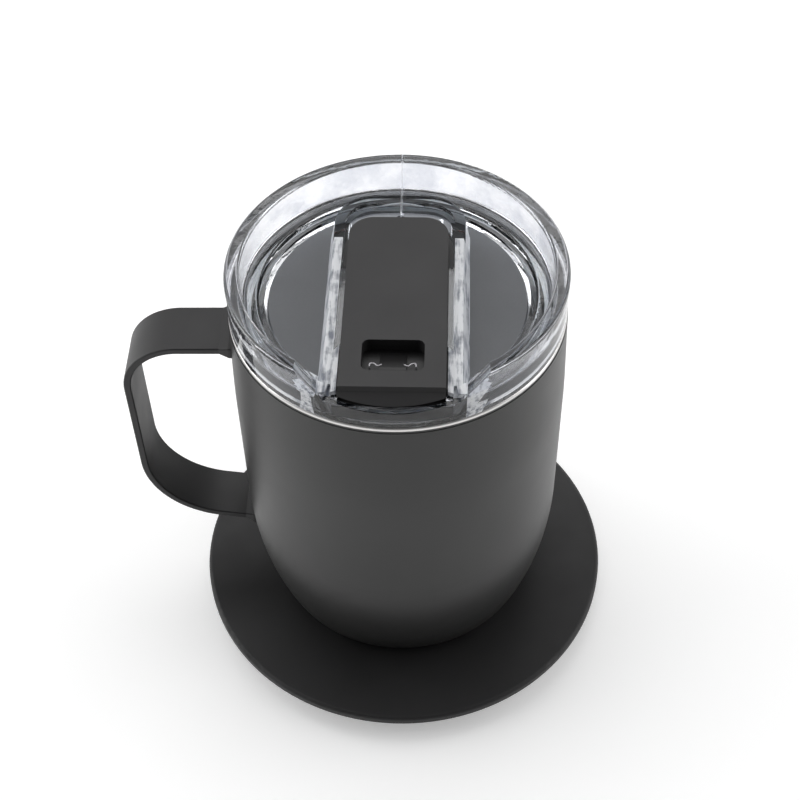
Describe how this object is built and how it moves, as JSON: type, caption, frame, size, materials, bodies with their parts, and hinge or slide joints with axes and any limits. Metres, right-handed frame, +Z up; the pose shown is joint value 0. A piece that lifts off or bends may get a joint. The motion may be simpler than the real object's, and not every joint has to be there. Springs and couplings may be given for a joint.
{
  "type": "self-heating mug with charging saucer",
  "caption": "Double-walled metal mug with a flat strap handle, a clear lid with a sliding drink opening, and a thin round saucer that heats and charges it.",
  "frame": {"origin": "centre of the saucer's resting face, on the table", "axes": "+Z up through the mug, -Y towards the drinking side of the lid, handle towards -X, power inlet at +Y"},
  "size_m": [0.1355, 0.1222, 0.1316],
  "materials": {
    "shell_paint": "satin",
    "lip_steel": "satin",
    "handle_black": "matte",
    "saucer_black": "matte",
    "base_black": "matte",
    "slider_black": "matte",
    "clear_plastic": "clear",
    "silicone": "matte",
    "rubber_black": "matte",
    "copper": "satin",
    "ferrite": "matte",
    "board_green": "matte",
    "component": "matte",
    "steel": "satin",
    "film_amber": "satin",
    "plate_aluminium": "satin",
    "insulation": "matte"
  },
  "bodies": {
    "saucer": {"saucer_top": "saucer_black", "saucer_bottom": "base_black", "saucer_pad": "rubber_black", "saucer_screws": "steel", "transmitter_coil": "copper", "transmitter_ferrite": "ferrite", "coil_tray": "component", "saucer_board": "board_green", "saucer_board_parts": "component", "power_socket": "steel"},
    "mug": {"outer_shell": "shell_paint", "inner_cup": "lip_steel", "strap_handle": "handle_black", "bottom_cover": "base_black", "foot_ring": "rubber_black", "bottom_screws": "steel", "receiver_coil": "copper", "receiver_ferrite": "ferrite", "cradle": "component", "mug_board": "board_green", "mug_board_parts": "component", "heater_foil": "film_amber", "heater_plate": "plate_aluminium", "heat_shield": "insulation", "temperature_sensor": "component", "thermal_cutoff": "steel"},
    "lid": {"lid_shell": "clear_plastic", "lid_gasket": "silicone"},
    "slider": {"slider_cap": "slider_black", "slider_runner": "slider_black", "drink_seal": "silicone"}
  },
  "joints": [
    {"name": "mug_lift", "type": "slide", "parent": "saucer", "child": "mug", "axis": [0, 0, 1], "range_m": [0, 0.06]},
    {"name": "lid_lift", "type": "slide", "parent": "mug", "child": "lid", "axis": [0, 0, 1], "range_m": [0, 0.08]},
    {"name": "slider_slide", "type": "slide", "parent": "lid", "child": "slider", "axis": [0.0454, 0.999, 0], "range_m": [0, 0.01]}
  ]
}
